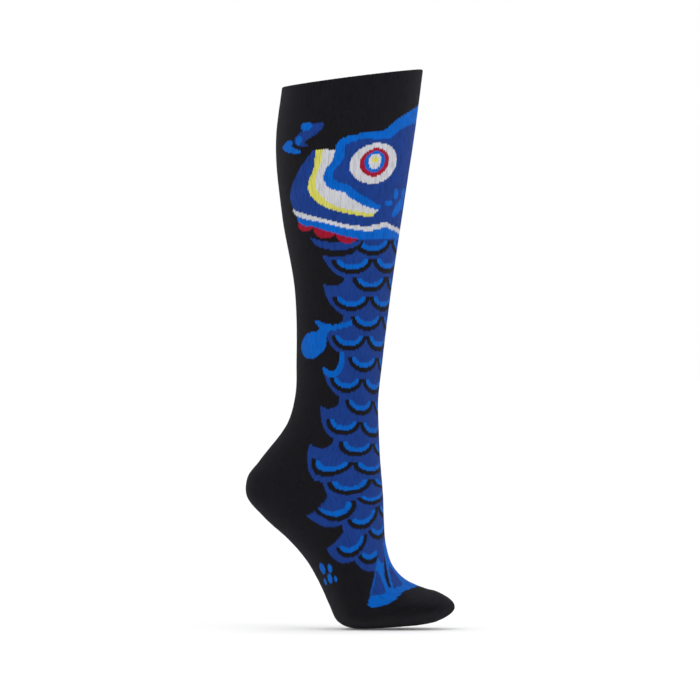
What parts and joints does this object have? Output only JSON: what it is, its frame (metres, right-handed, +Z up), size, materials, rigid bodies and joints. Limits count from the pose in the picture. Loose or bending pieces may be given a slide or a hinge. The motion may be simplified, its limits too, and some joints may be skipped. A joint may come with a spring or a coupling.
{
  "type": "knee-high sock",
  "caption": "Knee-high knitted sock in its worn shape, with a folded elastic welt, a leg and foot tube, a heel pocket and a closed toe.",
  "frame": {"origin": "middle of the leg opening, on the upper edge of the welt", "axes": "+Z up the leg, +X towards the toe, +Y to the side; the sock is the same on both sides of the XZ plane"},
  "size_m": [0.1957, 0.113, 0.526],
  "materials": {
    "black_knit": "matt black cotton rib and plain knit",
    "patterned_knit": "matt black jacquard knit with royal blue, azure, white, red and yellow yarns",
    "float_yarn": "loose royal blue and azure yarns",
    "seam_yarn": "black linking yarn",
    "elastic": "black covered elastic yarn"
  },
  "bodies": {
    "root": {"turned_welt": "black_knit", "welt_elastic": "elastic", "leg_tube": "patterned_knit", "float_yarns": "float_yarn", "heel_pocket": "black_knit", "foot_tube": "patterned_knit", "toe_pocket": "black_knit", "toe_seam": "seam_yarn"}
  },
  "joints": []
}
